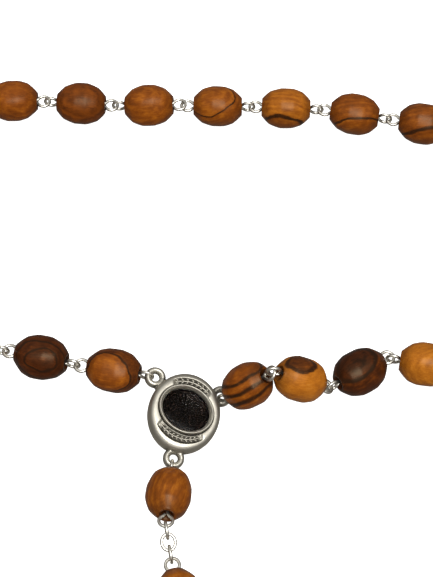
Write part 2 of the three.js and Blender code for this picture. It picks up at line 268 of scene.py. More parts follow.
def tube(path, radius, sides=10, closed=False):
    """A round wire along a path, with rounded ends if it is open."""
    path = [Vector(p) for p in path]
    tangents = tangents_along(path, closed)
    side = tangents[0].orthogonal().normalized()
    rows = []
    for index, place in enumerate(path):
        side = (side - tangents[index] * side.dot(tangents[index])).normalized()
        across = tangents[index].cross(side)
        rows.append((place, side.copy(), across))
    radii = [radius] * len(path)
    if not closed:
        first, last = rows[0], rows[-1]
        rows.insert(0, (first[0] - tangents[0] * radius * TIP_REACH, first[1], first[2]))
        rows.append((last[0] + tangents[-1] * radius * TIP_REACH, last[1], last[2]))
        radii = [radius * TIP_SIZE, *radii, radius * TIP_SIZE]
    points = []
    for (place, one, two), size in zip(rows, radii):
        for angle in angles_round(sides):
            points.append(place + (one * math.cos(angle) + two * math.sin(angle)) * size)
    faces = grid_faces(len(rows), sides, closed_rows=closed)
    if not closed:
        faces += end_caps(len(points), sides)
    return points, faces


def arc(centre, radius, start, end, steps):
    """Points on an arc in the xy plane, angles in degrees."""
    places = []
    for step in range(steps + 1):
        angle = math.radians(start + (end - start) * step / steps)
        places.append((centre + radius * math.cos(angle), radius * math.sin(angle), 0.0))
    return places


# ---------------- wood figure

MOST_STREAKS = 3
NO_STREAK = (40.0, 0.1)  # a streak that lies outside every bead

# Painted shade: how dark a bead's ends and its bore are painted (in the bore partly its burnt wood), and
# how far from the belly to the end it starts.
END_SHADE = 0.5
BORE_SHADE = 0.8
SHADE_START = 0.55

# Seeds. Each bead's own number is added to the first.
FIGURE_SEED = 1000
CROSS_NUMBER = 900


class Figure:
    """How a bead was cut from the branch, and so what figure shows on it.

    normal: the direction across the growth rings, as (right, up, towards) of the viewing direction.
    streaks: up to three dark layers, each (place along the normal, half width) in millimetres.
    below, above: lightness before and past the first streak, from 0, nearly black, to 1, pale orange.
    red: how reddish the wood is, from 0 to 1.
    """

    def __init__(self, normal, streaks=(), below=0.5, above=None, red=0.3):
        across = VIEW_RIGHT * normal[0] + VIEW_UP * normal[1] + VIEW_TOWARDS * normal[2]
        self.normal = across.normalized()
        padded = list(streaks) + [NO_STREAK] * (MOST_STREAKS - len(streaks))
        self.places = [place for place, _ in padded]
        self.widths = [width for _, width in padded]
        self.tone = (below, below if above is None else above, red)


def random_figure(number):
    """A plausible figure for a bead, the same on each run."""
    draw = np.random.default_rng(FIGURE_SEED + number)
    normal = draw.normal(size=3)
    count = draw.integers(0, MOST_STREAKS + 1)
    streaks = [(draw.uniform(-3.0, 3.0), draw.uniform(0.08, 0.3)) for _ in range(count)]
    below = draw.uniform(0.3, 0.65)
    return Figure(normal, streaks, below, below + draw.uniform(-0.15, 0.25), draw.uniform(0.1, 0.5))


def end_shade(points):
    """Painted shade on each point of a bead: none on its belly, darker towards its ends, and darkest in its
    bore.
    """
    local = np.asarray(points, float)
    share = (np.abs(local[:, 0]) / BEAD_HALF - SHADE_START) / (1 - SHADE_START)
    inside = np.hypot(local[:, 1], local[:, 2]) < MOUTH_RADIUS + 0.02
    return np.where(inside, BORE_SHADE, END_SHADE * np.clip(share, 0, 1) ** 1.5)


def wood_values(points, matrix, figure, number, with_painted_shade=True):
    """Per-vertex grain coordinates: across the rings, along the fibres and square to both.

    A bead gets painted shade that darkens its ends and its bore; the cross gets none.
    """
    turn = np.array(matrix.to_3x3())
    placed = np.asarray(points, float) @ turn.T
    across = np.array(figure.normal)
    along = turn[:, 0] - across * np.dot(turn[:, 0], across)
    if np.linalg.norm(along) < 0.2:  # the bead lies nearly square to the rings
        along = turn[:, 1] - across * np.dot(turn[:, 1], across)
    along = along / np.linalg.norm(along)
    square = np.cross(across, along)
    offset = np.random.default_rng(number).uniform(-60, 60, size=2)
    shade = end_shade(points) if with_painted_shade else np.zeros(len(points))
    return {
        "shade": np.column_stack([shade, shade, shade]),
        "grain": np.column_stack(
            [placed @ across, placed @ along + offset[0], placed @ square + offset[1]]
        ),
        "streak_places": figure.places,
        "streak_widths": figure.widths,
        "tone": figure.tone,
    }


# ---------------- beads and pins

# How true a bead is turned: the share of its facets, and the lobes and depths of its roundness error.
FACET_SHARE = 0.6
LOBES = (2, 3, 5, 4)
LOBE_DEPTHS = (0.004, 0.016)
END_ROUND = 0.06  # how far before each end the turned flank stops

# Points along and round a bead.
FINE_BEAD = (35, 72)
COARSE_BEAD = (17, 36)


def barrel_radius(x):
    return BEAD_RADIUS * np.sqrt(1 - np.abs(x / BEAD_TIP) ** BEAD_CURVE)


def bead_profile(draw, stations):
    """The closed outline (x, radius) of a bead: its turned flank, then each end and the bore."""
    knots = np.array([-BEAD_HALF, -2.5, -1.0, 1.0, 2.5, BEAD_HALF])
    knots[1:5] += draw.uniform(-0.2, 0.2, 4)
    outer = np.linspace(-BEAD_HALF + END_ROUND, BEAD_HALF - END_ROUND, stations)
    facets = np.interp(outer, knots, barrel_radius(knots) * 1.01)
    turned = (1 - FACET_SHARE) * barrel_radius(outer) + FACET_SHARE * facets
    start = turned[0]
    end = [
        (BEAD_HALF - 0.015, start - 0.03),
        (BEAD_HALF, start - 0.09),
        (BEAD_HALF, MOUTH_RADIUS + 0.06),
        (BEAD_HALF - 0.02, MOUTH_RADIUS),
        (BEAD_HALF - 0.4, 0.88),
        (BEAD_HALF - MOUTH_DEPTH, BORE_RADIUS),
        (1.5, BORE_RADIUS),
    ]
    return list(zip(outer, turned)) + end + [(-x, r) for x, r in reversed(end)]


def bead_points(number, stations, sides):
    """A hand-turned barrel with flat ends, countersunk mouths and a bore right through it."""
    draw = np.random.default_rng(number)
    profile = bead_profile(draw, stations)
    phases = draw.uniform(0, 2 * math.pi, len(LOBES))
    amounts = draw.uniform(*LOBE_DEPTHS, len(LOBES))
    points = []
    for x, radius in profile:
        for angle in angles_round(sides):
            wobble = 1.0
            if radius > RIM_RADIUS * 1.02:
                wobble += sum(
                    amount * math.sin(lobe * angle + phase + 0.35 * x * (lobe - 3))
                    for amount, lobe, phase in zip(amounts, LOBES, phases)
                )
            points.append((x, radius * wobble * math.cos(angle), radius * wobble * math.sin(angle)))
    return points, grid_faces(len(profile), sides, closed_rows=True)


def add_bead(shape, link, number, figure, fine):
    """A bead on its link. A fine one has twice the points each way."""
    stations, sides = FINE_BEAD if fine else COARSE_BEAD
    points, faces = bead_points(number, stations, sides)
    shape.add(points, faces, link.matrix, **wood_values(points, link.matrix, figure, number))


def eye_path(standing, steps=24):
    """One eye of a pin in the bead's frame, from the bore out round the eye and back to the mouth."""
    flat = [(2.9, 0.03, 0), (3.35, 0.12, 0), (3.66, 0.27, 0)]
    flat += arc(EYE_PLACE, EYE_RADIUS, 148, -150, steps)
    flat += [(3.72, -0.36, 0), (3.6, -0.28, 0)]
    if standing:
        return [(x, 0.0, y) for x, y, _ in flat]
    return flat


def pin_path(near_standing, far_standing):
    """The whole bent wire: near eye, straight through the bore, far eye."""
    near = [(-x, -y, z) for x, y, z in eye_path(near_standing)]
    return near[::-1] + [(0.0, 0.0, 0.0)] + eye_path(far_standing)


def add_pin(shape, link, near_standing=True, far_standing=False):
    points, faces = tube(pin_path(near_standing, far_standing), WIRE_RADIUS, 12)
    shape.add(points, faces, link.matrix)


def add_ring(shape, link, standing):
    """A slightly oval chain link, upright or flat."""
    path = []
    for x, y, _ in arc(0.0, LINK_RADIUS, 0, 360, RING_STEPS)[:-1]:
        x *= RING_LENGTHENED
        y *= RING_NARROWED
        path.append((x, 0.0, y) if standing else (x, y, 0.0))
    points, faces = tube(path, LINK_WIRE, 10, closed=True)
    shape.add(points, faces, link.matrix)


# ---------------- materials


def put(tree, kind, *inputs, **settings):
    """A shader node. An input is a value, a socket to link, or None to leave alone."""
    made = tree.nodes.new("ShaderNode" + kind)
    for name, value in settings.items():
        setattr(made, name, value)
    for index, value in enumerate(inputs):
        give(tree, made.inputs[index], value)
    return made


def give(tree, socket, value):
    if isinstance(value, bpy.types.NodeSocket):
        tree.links.new(value, socket)
    elif value is not None:
        socket.default_value = value


def maths(tree, operation, *inputs):
    return put(tree, "Math", *inputs, operation=operation).outputs[0]


def scaled(tree, vector, factors):
    return put(tree, "VectorMath", vector, factors, operation="MULTIPLY").outputs[0]


def speckle(tree, vector, scale, detail=3.0, roughness=0.5):
    made = put(tree, "TexNoise")
    give(tree, made.inputs["Vector"], vector)
    give(tree, made.inputs["Scale"], scale)
    give(tree, made.inputs["Detail"], detail)
    give(tree, made.inputs["Roughness"], roughness)
    return made.outputs[0]


def ranged(tree, value, low, high, to_low=0.0, to_high=1.0, smooth=True):
    made = put(tree, "MapRange", value, low, high, to_low, to_high)
    made.interpolation_type = "SMOOTHSTEP" if smooth else "LINEAR"
    return made.outputs[0]


def blended(tree, factor, one, two):
    """A colour mix. Colours are (r, g, b) or sockets."""
    made = put(tree, "Mix", data_type="RGBA")
    give(tree, made.inputs["Factor"], factor)
    give(tree, made.inputs[6], one if isinstance(one, bpy.types.NodeSocket) else (*one, 1.0))
    give(tree, made.inputs[7], two if isinstance(two, bpy.types.NodeSocket) else (*two, 1.0))
    return made.outputs[2]


def coloured(tree, factor, stops):
    """A colour ramp through (place, (r, g, b)) stops."""
    made = put(tree, "ValToRGB", factor)
    ramp = made.color_ramp
    while len(ramp.elements) < len(stops):
        ramp.elements.new(0.5)
    for element, (place, colour) in zip(ramp.elements, stops):
        element.position = place
        element.color = (*colour, 1.0)
    return made.outputs[0]


def attribute(tree, name):
    return put(tree, "Attribute", attribute_name=name).outputs["Vector"]


def split(tree, vector):
    return put(tree, "SeparateXYZ", vector).outputs


def object_mm(tree):
    """Coordinates in the piece's own frame, in millimetres."""
    return scaled(tree, put(tree, "TexCoord").outputs["Object"], (1000, 1000, 1000))


def bumped(tree, height, strength, depth_mm):
    made = put(tree, "Bump")
    give(tree, made.inputs["Strength"], strength)
    give(tree, made.inputs["Distance"], depth_mm * MM)
    give(tree, made.inputs["Height"], height)
    return made.outputs[0]


def new_material(name, **values):
    """A material with one Principled shader. Names in values are its sockets, with _ for a space."""
    made = bpy.data.materials.new(name)
    made.use_nodes = True
    tree = made.node_tree
    shader = tree.nodes["Principled BSDF"]
    for key, value in values.items():
        shader.inputs[key.replace("_", " ")].default_value = value
    return made, tree, shader


WOOD_TONES = [
    (0.0, (0.013, 0.0038, 0.0014)),
    (0.2, (0.06, 0.015, 0.003)),
    (0.45, (0.205, 0.055, 0.0045)),
    (0.7, (0.43, 0.142, 0.011)),
    (1.0, (0.62, 0.28, 0.05)),
]
REDDISH = (1.0, 0.72, 0.62, 1.0)
PORE = (0.06, 0.018, 0.005)
STREAK = (0.017, 0.006, 0.0025)
# The near-black brown of the painted shade at a bead's ends and bore.
ENDS_SHADE_COLOUR = (0.03, 0.009, 0.003)


def wood_streaks(tree, ring):
    """The dark layers at a place across the rings, and how far that place is past the first of them."""
    spread = put(tree, "CombineXYZ", ring, ring, ring).outputs[0]
    places = attribute(tree, "streak_places")
    apart = put(tree, "VectorMath", spread, places, operation="SUBTRACT").outputs[0]
    widths = attribute(tree, "streak_widths")
    shares = put(tree, "VectorMath", apart, widths, operation="DIVIDE").outputs[0]
    sizes = put(tree, "VectorMath", shares, operation="ABSOLUTE").outputs[0]
    one, two, three = split(tree, sizes)
    nearest = maths(tree, "MINIMUM", maths(tree, "MINIMUM", one, two), three)
    return ranged(tree, nearest, 0.45, 1.6, 1.0, 0.0), split(tree, apart)[0]


def wood_lightness(tree, grain, ring, slow, fibre, past_first, tone):
    """The ground on each side of the first streak, with fibres, blotches and faint growth rings."""
    side = ranged(tree, past_first, -0.35, 0.35)
    light = put(tree, "Mix", side, None, tone[0], tone[1]).outputs[0]
    waves = maths(tree, "SINE", maths(tree, "MULTIPLY", ring, 7.5))
    faint = maths(tree, "MULTIPLY", waves, ranged(tree, slow, 0.4, 0.7, 0.015, 0.06))
    blotch = speckle(tree, scaled(tree, grain, (0.55, 0.4, 0.55)), 1.7, 3.0)
    detail = maths(tree, "MULTIPLY_ADD", blotch, 0.36, -0.35)
    detail = maths(tree, "MULTIPLY_ADD", fibre, 0.34, detail)
    return maths(tree, "ADD", maths(tree, "ADD", light, detail), faint)


def olive_wood():
    """Oiled olive wood with painted shade at the beads' ends and bores. Its figure comes from values kept
    on the mesh, so no two beads are alike.
    """
    material, tree, shader = new_material("olive_wood", Coat_Weight=0.08, Coat_Roughness=0.3, Coat_IOR=1.4)
    shader.inputs["Specular IOR Level"].default_value = 0.24
    shader.inputs["Specular Tint"].default_value = (1.0, 0.72, 0.42, 1.0)
    grain = attribute(tree, "grain")
    tone = split(tree, attribute(tree, "tone"))
    slow = speckle(tree, scaled(tree, grain, (0.45, 0.16, 0.45)), 1.0, 2.0)
    fibre = speckle(tree, scaled(tree, grain, (5.0, 0.7, 5.0)), 1.0, 5.0, 0.62)
    wander = maths(tree, "MULTIPLY_ADD", slow, 1.1, maths(tree, "MULTIPLY_ADD", fibre, 0.16, -0.63))
    ring = maths(tree, "ADD", split(tree, grain)[0], wander)
    streak, past_first = wood_streaks(tree, ring)

    light = wood_lightness(tree, grain, ring, slow, fibre, past_first, tone)
    reddish = put(tree, "Mix", data_type="RGBA", blend_type="MULTIPLY")
    give(tree, reddish.inputs["Factor"], tone[2])
    give(tree, reddish.inputs[6], coloured(tree, light, WOOD_TONES))
    give(tree, reddish.inputs[7], REDDISH)
    pores = speckle(tree, scaled(tree, grain, (9.0, 1.4, 9.0)), 1.6, 2.0)
    flecked = blended(tree, ranged(tree, pores, 0.62, 0.72, 0.0, 0.35), reddish.outputs[2], PORE)
    soft_streak = maths(tree, "MULTIPLY", streak, ranged(tree, fibre, 0.25, 0.6, 0.72, 0.97))
    streaked = blended(tree, soft_streak, flecked, STREAK)
    # Painted shade: each bead's ends and bore blend towards a near-black brown.
    shaded_wood = blended(tree, split(tree, attribute(tree, "shade"))[0], streaked, ENDS_SHADE_COLOUR)
    tree.links.new(shaded_wood, shader.inputs["Base Color"])
    tree.links.new(ranged(tree, fibre, 0.3, 0.7, 0.3, 0.43), shader.inputs["Roughness"])
    relief = maths(tree, "SUBTRACT", fibre, maths(tree, "MULTIPLY", streak, 0.3))
    tree.links.new(bumped(tree, relief, 0.35, 0.035), shader.inputs["Normal"])
    return material


def silver_wire():
    """Plated wire, a little cloudy, with fine drawing marks."""
    material, tree, shader = new_material("silver_wire", Metallic=1.0)
    place = object_mm(tree)
    clouds = speckle(tree, place, 1.3, 3.0)
    marks = speckle(tree, place, 9.0, 3.0, 0.6)
    colour = coloured(
        tree, clouds, [(0.3, (0.62, 0.59, 0.52)), (0.55, (0.80, 0.77, 0.70)), (0.8, (0.90, 0.87, 0.81))]
    )
    tree.links.new(colour, shader.inputs["Base Color"])
    tree.links.new(ranged(tree, marks, 0.3, 0.7, 0.28, 0.42), shader.inputs["Roughness"])
    tree.links.new(bumped(tree, marks, 0.25, 0.02), shader.inputs["Normal"])
    return material


def pewter():
    """Cast metal with a dark patina in its sunk bands and groove, painted shade from ambient occlusion in
    every recess, and its raised ornament made lighter.
    """
    material, tree, shader = new_material("pewter", Metallic=1.0)
    place = object_mm(tree)
    # Painted shade: ambient occlusion darkens the metal's colour in every recess and leaves its high spots
    # brightest.
    shade = put(tree, "AmbientOcclusion", samples=12, only_local=True)
    give(tree, shade.inputs["Distance"], 0.9 * MM)
    clouds = speckle(tree, place, 0.9, 4.0)
    grains = speckle(tree, place, 7.0, 4.0, 0.65)
    stain, lighter_ornament, _ = split(tree, attribute(tree, "stain"))
    # The stain's second value makes the ornament's stem and leaves lighter; the occlusion's painted shade
    # is added to it.
    shade_and_lighter_ornament = maths(tree, "MULTIPLY_ADD", lighter_ornament, 0.45, shade.outputs["AO"])
    shade_ornament_clouds = maths(tree, "ADD", shade_and_lighter_ornament, maths(tree, "MULTIPLY_ADD", clouds, 0.3, -0.15))
    metal = coloured(
        tree,
        shade_ornament_clouds,
        [
            (0.35, (0.03, 0.026, 0.02)),
            (0.62, (0.17, 0.158, 0.13)),
            (0.85, (0.41, 0.39, 0.335)),
            (1.0, (0.53, 0.505, 0.44)),
        ],
    )
    patchy = maths(tree, "MULTIPLY", stain, ranged(tree, grains, 0.35, 0.65, 1.0, 0.88))
    colour = blended(tree, patchy, metal, (0.014, 0.012, 0.009))
    tree.links.new(colour, shader.inputs["Base Color"])
    tree.links.new(ranged(tree, grains, 0.3, 0.7, 0.4, 0.54), shader.inputs["Roughness"])
    tree.links.new(bumped(tree, grains, 0.3, 0.03), shader.inputs["Normal"])
    return material


def dark_earth():
    """Nearly black crumbs with a few paler grains, and no shine."""
    material, tree, shader = new_material("earth", Roughness=1.0, Specular_IOR_Level=0.0)
    place = object_mm(tree)
    crumbs = speckle(tree, place, 2.6, 5.0, 0.7)
    specks = speckle(tree, place, 5.5, 2.0)
    ground = coloured(
        tree,
        crumbs,
        [(0.35, (0.003, 0.0018, 0.0012)), (0.6, (0.009, 0.0055, 0.004)), (0.8, (0.03, 0.021, 0.015))],
    )
    colour = blended(tree, ranged(tree, specks, 0.64, 0.72, 0.0, 0.45), ground, (0.06, 0.05, 0.038))
    tree.links.new(colour, shader.inputs["Base Color"])
    tree.links.new(bumped(tree, crumbs, 0.15, 0.03), shader.inputs["Normal"])
    return material


def clear_lens():
    """Slightly hazy clear resin, whose low index keeps the earth under it dark."""
    material, tree, shader = new_material("lens", Transmission_Weight=1.0, IOR=1.12)
    shader.inputs["Base Color"].default_value = (0.93, 0.93, 0.93, 1.0)
    haze = speckle(tree, object_mm(tree), 0.8, 3.0)
    tree.links.new(ranged(tree, haze, 0.3, 0.7, 0.12, 0.2), shader.inputs["Roughness"])
    return material


def pale_floor():
    """A white sheet that glows enough to stay white in the beads' own shadow."""
    material, tree, shader = new_material("floor", Roughness=0.9, Specular_IOR_Level=0.1)
    mottle = speckle(tree, object_mm(tree), 0.05, 3.0)
    colour = coloured(tree, mottle, [(0.3, (0.80, 0.80, 0.80)), (0.7, (0.84, 0.84, 0.84))])
    tree.links.new(colour, shader.inputs["Base Color"])
    shader.inputs["Emission Color"].default_value = (1, 1, 1, 1)
    shader.inputs["Emission Strength"].default_value = FLOOR_GLOW
    return material


# ---------------- placing pieces


def settle(piece, body, slot, *nodes):
    """Rides a piece on its body and hides the CAD nodes that it stands for."""
    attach(piece, body)
    if nodes:
        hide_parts(*nodes)


bead_numbers = itertools.count(1)  # the order in which beads are made, which seeds each one


def make_bead_and_pin(prefix, number, link, near_standing=True, far_standing=False):
    """A bead that turns on its own pin, as two pieces."""
    tail = f"{number:02d}"
    figure = FIGURES.get(f"{prefix}_{tail}") or random_figure(number)
    wood = Shape()
    add_bead(wood, link, next(bead_numbers), figure, fine=True)
    bead = wood.build(f"{prefix}_bead_{tail}_turned", WOOD)
    settle(bead, f"{prefix}_bead_{tail}", "olive_wood", f"{prefix}_bead_{tail}")
    wire = Shape()
    add_pin(wire, link, near_standing, far_standing)
    pin = wire.build(f"{prefix}_pin_{tail}_wire", SILVER)
    settle(pin, f"{prefix}_pin_{tail}", "silver_wire", f"{prefix}_pin_{tail}")


def make_run(body, links, rings=()):
    """Beads on their pins that move as one body, with any chain rings before and after them."""
    wood = Shape()
    wire = Shape()
    for link, near_standing in links:
        number = next(bead_numbers)
        add_bead(wood, link, number, random_figure(number), fine=False)
        add_pin(wire, link, near_standing, not near_standing)
    for link, standing in rings:
        add_ring(wire, link, standing)
    settle(wood.build(f"{body}_wood", WOOD), body, "olive_wood", body)
    settle(wire.build(f"{body}_wire", SILVER), body, "silver_wire", body)


def alternating(links, first_standing):
    """Chain rings that stand and lie by turns."""
    return [(link, (index % 2 == 0) == first_standing) for index, link in enumerate(links)]


def far_yaw(number, bend):
    """Heading of a bead beyond the first ones: straight, an even turn, and straight again."""
    share = min(max((number - bend["start"]) / (bend["end"] - bend["start"]), 0.0), 1.0)
    return bend["from"] + (bend["to"] - bend["from"]) * share


def make_spacer(prefix, number, last, yaw):
    """A bead with a chain on each side. Returns the last ring."""
    before = chain_after(last, yaw)
    bead = Link(before[-1], yaw, slack=LINK_SLACK)
    after = chain_after(bead, yaw)
    rings = alternating(before, True) + alternating(after, False)
    make_run(f"{prefix}_spacer_{number}", [(bead, False)], rings)
    return after[-1]


def make_strand(prefix, plan):
    """One half of the loop, from its lug to the middle of the far side."""
    last = plan["start"]
    number = 0
    for yaw, pitch, slack in plan["first_beads"]:
        number += 1
        last = Link(last, yaw, pitch, slack)
        make_bead_and_pin(prefix, number, last)
    for count in plan["runs"]:
        if count == SPACER:
            number += 1
            last = make_spacer(prefix, number, last, far_yaw(number, plan["bend"]))
            continue
        first = number + 1
        links = []
        for _ in range(count):
            number += 1
            last = Link(last, far_yaw(number, plan["bend"]))
            links.append((last, True))
        make_run(f"{prefix}_run_{first:02d}_{number:02d}", links)
    for yaw, pitch, slack in plan["last_beads"]:
        number += 1
        last = Link(last, yaw, pitch, slack)
        make_bead_and_pin(prefix, number, last)


def make_drop(plan):
    """Below the medal: a bead, three chain links, three beads, a chained bead and the cross."""
    last = Link(plan["start"], *plan["first"])
    make_bead_and_pin("drop", 1, last)
    for index, (yaw, pitch, slack) in enumerate(plan["links"]):
        last = chain_link(last, yaw, pitch, slack)
        wire = Shape()
        add_ring(wire, last, index % 2 == 0)
        body = f"drop_link_{index + 1}"
        settle(wire.build(f"{body}_ring", SILVER), body, "silver_wire", body)
    last = Link(last, *plan["second"])
    make_bead_and_pin("drop", 2, last, near_standing=False)
    for number, yaw in plan["lone_headings"]:
        last = Link(last, yaw)
        make_run(f"drop_bead_{number:02d}", [(last, True)])
    yaw = plan["spacer_heading"]
    before = chain_after(last, yaw)
    last = Link(before[-1], yaw, slack=LINK_SLACK)
    make_run("drop_spacer_05", [(last, False)], alternating(before, True))
    make_cross(Link(last, *plan["cross"], span=0.0))


# ---------------- cross


def make_screw_eye(eye):
    wire = Shape()
    path = arc(0.0, EYE_RADIUS, 8, 352, 26)
    path += [(EYE_RADIUS + step * SCREW_STEP, 0.0, 0.0) for step in range(1, SCREW_STEPS + 1)]
    points, faces = tube(path, WIRE_RADIUS, 12)
    wire.add(points, faces, eye.matrix)
    settle(wire.build("cross_eye_wire", SILVER), "cross", "silver_wire", "cross_eye")


def cross_block():
    """Points and faces of a square-edged cross whose foot points along x."""
    half = CROSS_ARM / 2
    corners = [
        (0, half),
        (CROSS_BAR_PLACE - half, half),
        (CROSS_BAR_PLACE - half, CROSS_SPAN / 2),
        (CROSS_BAR_PLACE + half, CROSS_SPAN / 2),
        (CROSS_BAR_PLACE + half, half),
        (CROSS_LENGTH, half),
    ]
    outline = corners + [(x, -y) for x, y in reversed(corners)]
    count = len(outline)
    points = [(x, y, z) for z in (0.0, CROSS_THICKNESS) for x, y in outline]
    faces = [list(range(count))[::-1], list(range(count, 2 * count))]
    for index in range(count):
        following = (index + 1) % count
        faces.append([index, following, count + following, count + index])
    return points, faces


def make_cross(eye):
    make_screw_eye(eye)
    place = eye.matrix @ Matrix.Translation((EYE_RADIUS + 1, 0, -CROSS_THICKNESS / 2))
    points, faces = cross_block()
    wood = Shape()
    wood.add(points, faces, place)
    cross = wood.build("cross_wood", WOOD)
    round_edges(cross, CROSS_EDGE)
    keep_wood_values(cross, place, CROSS_FIGURE)
    settle(cross, "cross", "olive_wood", "cross")


def round_edges(piece, width_mm):
    """Rounds every edge and applies it."""
    bevel = piece.modifiers.new("round", "BEVEL")
    bevel.width = width_mm * MM
    bevel.segments = 5
    bevel.limit_method = "ANGLE"
    harden = piece.modifiers.new("normals", "WEIGHTED_NORMAL")
    harden.keep_sharp = True
    apply_modifiers(piece)


def apply_modifiers(piece):
    """Keeps the modified mesh and drops the modifiers."""
    bpy.context.view_layer.update()
    evaluated = piece.evaluated_get(bpy.context.evaluated_depsgraph_get())
    piece.data = bpy.data.meshes.new_from_object(evaluated)
    piece.modifiers.clear()


def keep_wood_values(piece, place, figure):
    """Writes the wood's per-vertex values on a finished mesh that was built in the row frame."""
    inverse = place.inverted()
    points = [inverse @ (vertex.co / MM + ORIGIN) for vertex in piece.data.vertices]
    values = wood_values(points, place, figure, CROSS_NUMBER, with_painted_shade=False)
    for key, rows in values.items():
        keep_values(piece.data, key, np.broadcast_to(np.asarray(rows, float), (len(points), 3)))


# ---------------- medal

# The sunk bands round the bezel: start and end in degrees, then their share of the face's width.
ORNAMENT_ARCS = ((50, 125), (221, 314))
LEAF_PAIRS = (7, 10)
BAND_OUTER = 0.47
BAND_INNER = 0.93
BAND_DEPTH = 0.24
BAND_END_SLOPE = 7.0  # degrees
BAND_SIDE_SLOPE = 0.06
GROOVE_START = 0.9
GROOVE_SLOPE = 0.07
FACE_START = 1.0  # the height above which the patina stays

# The ornament: a stem with pairs of leaves, each leaf set off from the stem and turned away from it.
STEM_RADIUS = 0.07
STEM_HEIGHT = 1.43
STEM_STEPS = 40
STEM_MARGIN = 3  # degrees short of a band's ends
LEAF = (0.62, 0.24, 0.24)
LEAF_OFFSET = (0.2, 0.23)
LEAF_TURN = 0.62
LEAF_HEIGHT = 1.42

# The voxels that the cast body is melted together with, in millimetres.
CAST_VOXEL = 0.07

# Each ring of the body: how far it lies toward the bezel's outline, its scale and its height.
BODY_STATIONS = [
    (0.0, 0.86, -1.5),
    (0.0, 0.92, -1.38),
    (0.0, 0.965, -1.1),
    (0.0, 0.99, -0.6),
    (0.0, 1.0, 0.0),
    (0.0, 0.995, 0.35),
    (0.03, 1.0, 0.68),
    (0.08, 1.0, 0.96),
    (0.16, 1.0, 1.2),
    (0.26, 1.0, 1.38),
    (0.38, 1.0, 1.49),
    (0.44, 1.0, 1.53),
    (0.5, 1.0, 1.56),
    (0.6, 1.0, 1.59),
    (0.7, 1.0, 1.6),
    (0.8, 1.0, 1.6),
    (0.86, 1.0, 1.59),
    (0.91, 1.0, 1.57),
    (0.945, 1.0, 1.53),
    (0.965, 1.0, 1.38),
    (1.0, 1.0, 1.34),
    (1.0, 0.95, 1.34),
    (1.0, 0.88, 1.3),
    (1.0, 0.87, -0.1),
    (1.0, 0.4, -0.1),
]

# The rim round the inset, as one closed ring in section.
BEZEL_STATIONS = [
    (1.0, 0.965, 1.2),
    (1.0, 1.0, 1.3),
    (1.0, 1.004, 1.6),
    (1.0, 1.0, 1.86),
    (1.0, 0.985, 2.0),
    (1.0, 0.965, 2.05),
    (1.0, 0.945, 2.0),
    (1.0, 0.92, 1.86),
    (1.0, 0.89, 1.66),
    (1.0, 0.868, 1.5),
    (1.0, 0.862, 1.1),
    (1.0, 0.862, 0.4),
    (1.0, 0.93, 0.4),
]

EARTH_HEIGHT = 0.95
EARTH_BOTTOM = 0.15
EARTH_SHARE = 0.84  # of the bezel's outline
EARTH_MIDDLE = 0.01

# The lens: its flat back and rim, then a quarter oval up to a small flat top.
LENS_RIM = [(1.0, 0.02, 1.25), (1.0, 0.84, 1.25), (1.0, 0.858, 1.3), (1.0, 0.855, 1.4)]
LENS_TOP = (1.0, 0.02, 1.625)
LENS_SHARE = 0.852
LENS_EDGE = 1.42
LENS_RISE = 0.2
LENS_STEPS = 12


def leaning(place):
    """A matrix whose z is the medal's face normal."""
    lean = Vector((0, 0, 1)).rotation_difference(MEDAL_LEAN).to_matrix().to_4x4()
    return Matrix.Translation(place) @ lean


def medal_matrix():
    """The medal's own frame, with the middle of its coin at the origin."""
    return leaning(MEDAL_PLACE) @ Matrix.Rotation(math.radians(MEDAL_TURN), 4, "Z")


def lug_places():
    """The lugs' places in the medal's own frame."""
    inverse = medal_matrix().inverted()
    return [inverse @ lug for lug in LUGS.values()]


def medal_point(angle, toward_bezel, scale, height):
    """A point between the body's outline and the bezel's outline, at an angle about the medal's face."""
    body = Vector((MEDAL_HALF_WIDTH * math.cos(angle), MEDAL_HALF_HEIGHT * math.sin(angle), 0))
    turned = angle - math.radians(BEZEL_TURN)
    oval = Vector((BEZEL_HALF_WIDTH * math.cos(turned), BEZEL_HALF_HEIGHT * math.sin(turned), 0))
    inner = BEZEL_SHIFT + Matrix.Rotation(math.radians(BEZEL_TURN), 3, "Z") @ oval * scale
    flat = (body * scale).lerp(inner, toward_bezel)
    return Vector((flat.x, flat.y, height))


def clear_of_lugs(point, lugs):
    """Moves a point out of the hole in a lug, so that the body's edge leaves the hole open."""
    for lug in lugs:
        away = Vector((point.x - lug.x, point.y - lug.y, 0))
        if away.length < LUG_CLEARANCE:
            place = away.normalized() * LUG_CLEARANCE
            return Vector((lug.x + place.x, lug.y + place.y, point.z))
    return point


def ease(value):
    """A soft step from 0 to 1."""
    value = min(max(value, 0.0), 1.0)
    return value * value * (3 - 2 * value)


def band_depth(angle, toward_bezel):
    """How deep the face is sunk for the ornament, from 0 to 1."""
    degrees = math.degrees(angle) % 360.0
    deepest = 0.0
    for start, end in ORNAMENT_ARCS:
        ends = min(degrees - start, end - degrees) / BAND_END_SLOPE + 0.5
        edges = min(toward_bezel - BAND_OUTER, BAND_INNER - toward_bezel) / BAND_SIDE_SLOPE + 0.5
        deepest = max(deepest, ease(ends) * ease(edges))
    return deepest


def medal_surface(stations, sides=120, capped=True, carved=False):
    """Rings of points from stations, either capped at both ends or closed on itself."""
    points = []
    lugs = lug_places()
    for toward, scale, height in stations:
        for angle in angles_round(sides):
            point = medal_point(angle, toward, scale, height)
            if carved:
                point = clear_of_lugs(point, lugs)
                point.z -= BAND_DEPTH * band_depth(angle, toward)
            points.append(point)
    faces = grid_faces(len(stations), sides, closed_rows=not capped)
    if capped:
        faces += end_caps(len(points), sides)
    return points, faces


